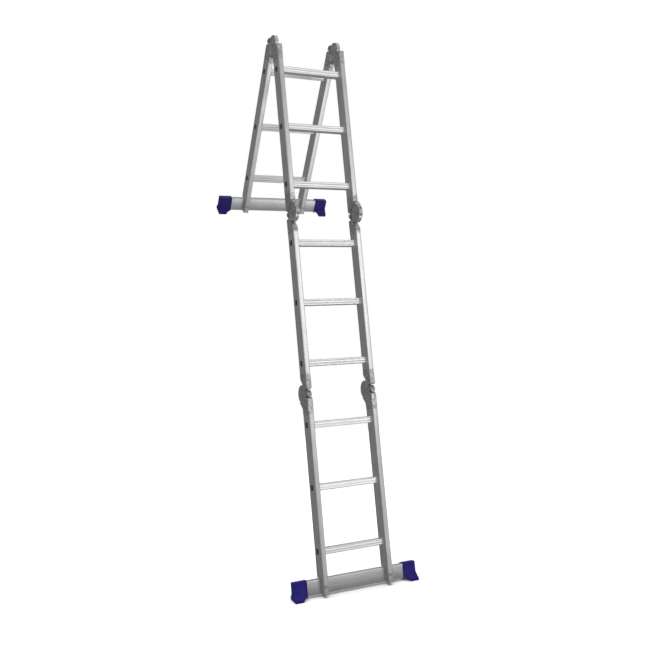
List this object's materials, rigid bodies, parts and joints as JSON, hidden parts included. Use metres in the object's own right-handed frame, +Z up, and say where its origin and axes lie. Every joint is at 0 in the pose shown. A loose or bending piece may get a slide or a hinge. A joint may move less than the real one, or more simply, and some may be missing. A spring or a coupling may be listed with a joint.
{
  "type": "folding multi position ladder",
  "caption": "Aluminium ladder of four hinged sections, leaning, with its top section folded down behind as a stand-off, and a wide stabiliser bar with plastic feet at each end.",
  "frame": {"origin": "bottom centre of the box around the ladder as it leans; the lower feet's soles stand on Z = 0", "axes": "+Z up, +X to the climber's right; the climber stands on the -Y side and the ladder leans 12 degrees towards +Y"},
  "size_m": [0.624, 1.0734, 2.5525],
  "materials": {
    "aluminium": "extruded, lightly brushed along its length",
    "hinge_alloy": "matt grey pressed and cast hinge halves",
    "steel": "zinc plated",
    "lever_steel": "dark coated",
    "blue_plastic": "moulded, fine satin"
  },
  "bodies": {
    "section_1": {"s1_stile_left": "aluminium", "s1_stile_right": "aluminium", "s1_rung_1": "aluminium", "s1_rung_2": "aluminium", "s1_rung_3": "aluminium", "lower_bar": "aluminium", "lower_stile_end_left": "aluminium", "lower_stile_end_right": "aluminium", "lower_bolt_left": "steel", "lower_bolt_right": "steel", "lower_foot_left": "blue_plastic", "lower_foot_right": "blue_plastic", "hinge_a_left_cheeks": "hinge_alloy", "hinge_a_left_pin": "steel", "hinge_a_right_cheeks": "hinge_alloy", "hinge_a_right_pin": "steel"},
    "section_2": {"s2_stile_left": "aluminium", "s2_stile_right": "aluminium", "s2_rung_1": "aluminium", "s2_rung_2": "aluminium", "s2_rung_3": "aluminium", "hinge_a_left_tongue": "hinge_alloy", "hinge_a_right_tongue": "hinge_alloy", "hinge_b_left_tongue": "hinge_alloy", "hinge_b_right_tongue": "hinge_alloy"},
    "section_3": {"s3_stile_left": "aluminium", "s3_stile_right": "aluminium", "s3_rung_1": "aluminium", "s3_rung_2": "aluminium", "s3_rung_3": "aluminium", "hinge_b_left_cheeks": "hinge_alloy", "hinge_b_left_pin": "steel", "hinge_b_right_cheeks": "hinge_alloy", "hinge_b_right_pin": "steel", "hinge_c_left_tongue": "hinge_alloy", "hinge_c_right_tongue": "hinge_alloy"},
    "section_4": {"s4_stile_left": "aluminium", "s4_stile_right": "aluminium", "s4_rung_1": "aluminium", "s4_rung_2": "aluminium", "s4_rung_3": "aluminium", "hinge_c_left_cheeks": "hinge_alloy", "hinge_c_left_pin": "steel", "hinge_c_right_cheeks": "hinge_alloy", "hinge_c_right_pin": "steel", "upper_bar": "aluminium", "upper_stile_end_left": "aluminium", "upper_stile_end_right": "aluminium", "upper_bolt_left": "steel", "upper_bolt_right": "steel", "upper_foot_left": "blue_plastic", "upper_foot_right": "blue_plastic"},
    "lever_a_left": {"hinge_a_left_lever": "lever_steel"},
    "lever_a_right": {"hinge_a_right_lever": "lever_steel"},
    "lever_b_left": {"hinge_b_left_lever": "lever_steel"},
    "lever_b_right": {"hinge_b_right_lever": "lever_steel"},
    "lever_c_left": {"hinge_c_left_lever": "lever_steel"},
    "lever_c_right": {"hinge_c_right_lever": "lever_steel"}
  },
  "joints": [
    {"name": "fold_a", "type": "hinge", "parent": "section_1", "child": "section_2", "pos_m": [0, -0.28479, 0.86519], "axis": [-1, 0, 0], "range_deg": [0, 178.5]},
    {"name": "fold_b", "type": "hinge", "parent": "section_2", "child": "section_3", "pos_m": [0, -0.18057, 1.7018], "axis": [1, 0, 0], "range_deg": [0, 178.5]},
    {"name": "fold_c", "type": "hinge", "parent": "section_3", "child": "section_4", "pos_m": [0, 0.0645, 2.50848], "axis": [-1, 0, 0], "range_deg": [-140, 38.5]},
    {"name": "release_a_left", "type": "slide", "parent": "section_1", "child": "lever_a_left", "axis": [0, -0.9781, 0.2079], "range_m": [0, 0.006], "stiffness_N_per_m": 600, "springref_m": -0.004},
    {"name": "release_a_right", "type": "slide", "parent": "section_1", "child": "lever_a_right", "axis": [0, -0.9781, 0.2079], "range_m": [0, 0.006], "stiffness_N_per_m": 600, "springref_m": -0.004},
    {"name": "release_b_left", "type": "slide", "parent": "section_3", "child": "lever_b_left", "axis": [0, 0.9781, -0.2079], "range_m": [0, 0.006], "stiffness_N_per_m": 600, "springref_m": -0.004},
    {"name": "release_b_right", "type": "slide", "parent": "section_3", "child": "lever_b_right", "axis": [0, 0.9781, -0.2079], "range_m": [0, 0.006], "stiffness_N_per_m": 600, "springref_m": -0.004},
    {"name": "release_c_left", "type": "slide", "parent": "section_4", "child": "lever_c_left", "axis": [0, 0.8829, 0.4695], "range_m": [0, 0.006], "stiffness_N_per_m": 600, "springref_m": -0.004},
    {"name": "release_c_right", "type": "slide", "parent": "section_4", "child": "lever_c_right", "axis": [0, 0.8829, 0.4695], "range_m": [0, 0.006], "stiffness_N_per_m": 600, "springref_m": -0.004}
  ]
}
